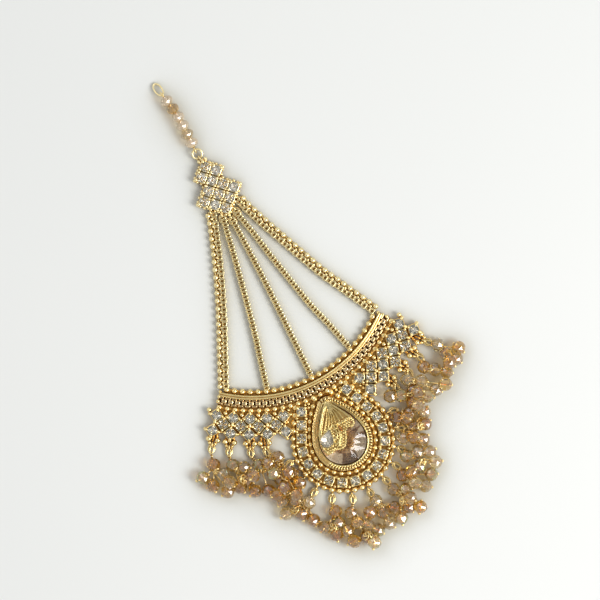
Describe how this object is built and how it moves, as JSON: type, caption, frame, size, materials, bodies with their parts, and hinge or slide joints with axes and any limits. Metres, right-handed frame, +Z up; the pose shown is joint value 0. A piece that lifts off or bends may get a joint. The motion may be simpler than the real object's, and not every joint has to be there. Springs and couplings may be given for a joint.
{
  "type": "jhoomar, a jewel for the side of the head",
  "caption": "Gold-tone fan of chains under a bead strand and stone-set crest, carrying a curved bar, a teardrop medallion and bunches of champagne crystal beads.",
  "frame": {"origin": "middle of the underside of the bounding box, on the surface that the jewel lies on", "axes": "+Y from the bead bunches towards the hook eye, +X to the right with the face up, +Z up out of the face"},
  "size_m": [0.1018, 0.175, 0.0081],
  "materials": {
    "gold_plate": "polished antique gold plating",
    "champagne_crystal": "faceted, champagne with a pale iridescent coating",
    "champagne_stone": "large facets, foiled back",
    "clear_stone": "clear, foiled back"
  },
  "bodies": {
    "root": {"hook_eye": "gold_plate", "jump_ring": "gold_plate", "crest": "gold_plate", "chain_1": "gold_plate", "chain_2": "gold_plate", "chain_3": "gold_plate", "chain_4": "gold_plate", "chain_5": "gold_plate", "frame": "gold_plate", "bezel": "gold_plate", "leaf": "gold_plate", "bead_strand": "champagne_crystal", "drop_left_1": "champagne_crystal", "drop_left_2": "champagne_crystal", "drop_left_3": "champagne_crystal", "drop_left_4": "champagne_crystal", "drop_ring_1": "champagne_crystal", "drop_ring_2": "champagne_crystal", "drop_ring_3": "champagne_crystal", "drop_ring_4": "champagne_crystal", "drop_ring_5": "champagne_crystal", "drop_ring_6": "champagne_crystal", "drop_ring_7": "champagne_crystal", "drop_ring_8": "champagne_crystal", "drop_ring_9": "champagne_crystal", "drop_ring_10": "champagne_crystal", "drop_ring_11": "champagne_crystal", "drop_right_1": "champagne_crystal", "drop_right_2": "champagne_crystal", "drop_right_3": "champagne_crystal", "drop_right_4": "champagne_crystal", "drop_stone": "champagne_stone", "small_stone": "clear_stone"}
  },
  "joints": []
}
